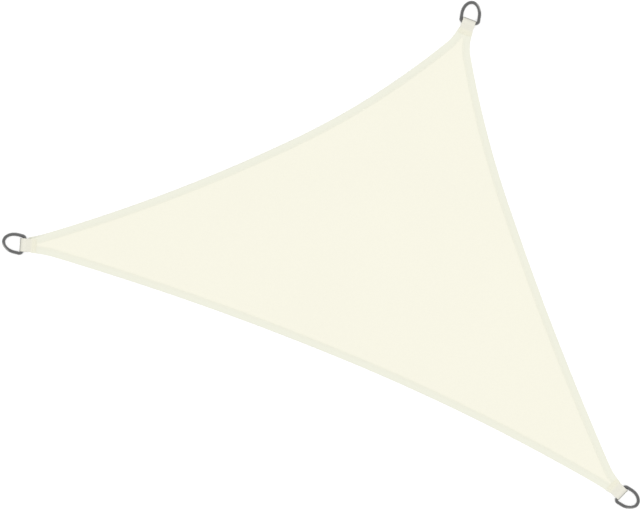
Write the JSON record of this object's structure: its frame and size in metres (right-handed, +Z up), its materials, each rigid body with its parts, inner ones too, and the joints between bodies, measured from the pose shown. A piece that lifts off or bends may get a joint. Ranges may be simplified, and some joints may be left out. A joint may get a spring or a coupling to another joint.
{
  "type": "shade sail",
  "caption": "Triangular cream cloth shade sail laid flat, with hollow-cut hemmed edges and a folded webbing tab holding a steel D-ring at each corner.",
  "frame": {"origin": "centre of the part's length and width, on the surface that the cloth lies on", "axes": "+X along the long edge from the left corner to the right, +Y towards the apex, +Z up out of the cloth's face"},
  "size_m": [2.5961, 1.5444, 0.0156],
  "materials": {
    "cloth": "matt woven polyester, cream",
    "webbing": "matt woven webbing, grey cream",
    "steel": "smooth polished round wire, dark grey"
  },
  "bodies": {
    "root": {"sail_cloth": "cloth", "corner_tab_left": "webbing", "corner_tab_apex": "webbing", "corner_tab_right": "webbing", "d_ring_left": "steel", "d_ring_apex": "steel", "d_ring_right": "steel"}
  },
  "joints": []
}
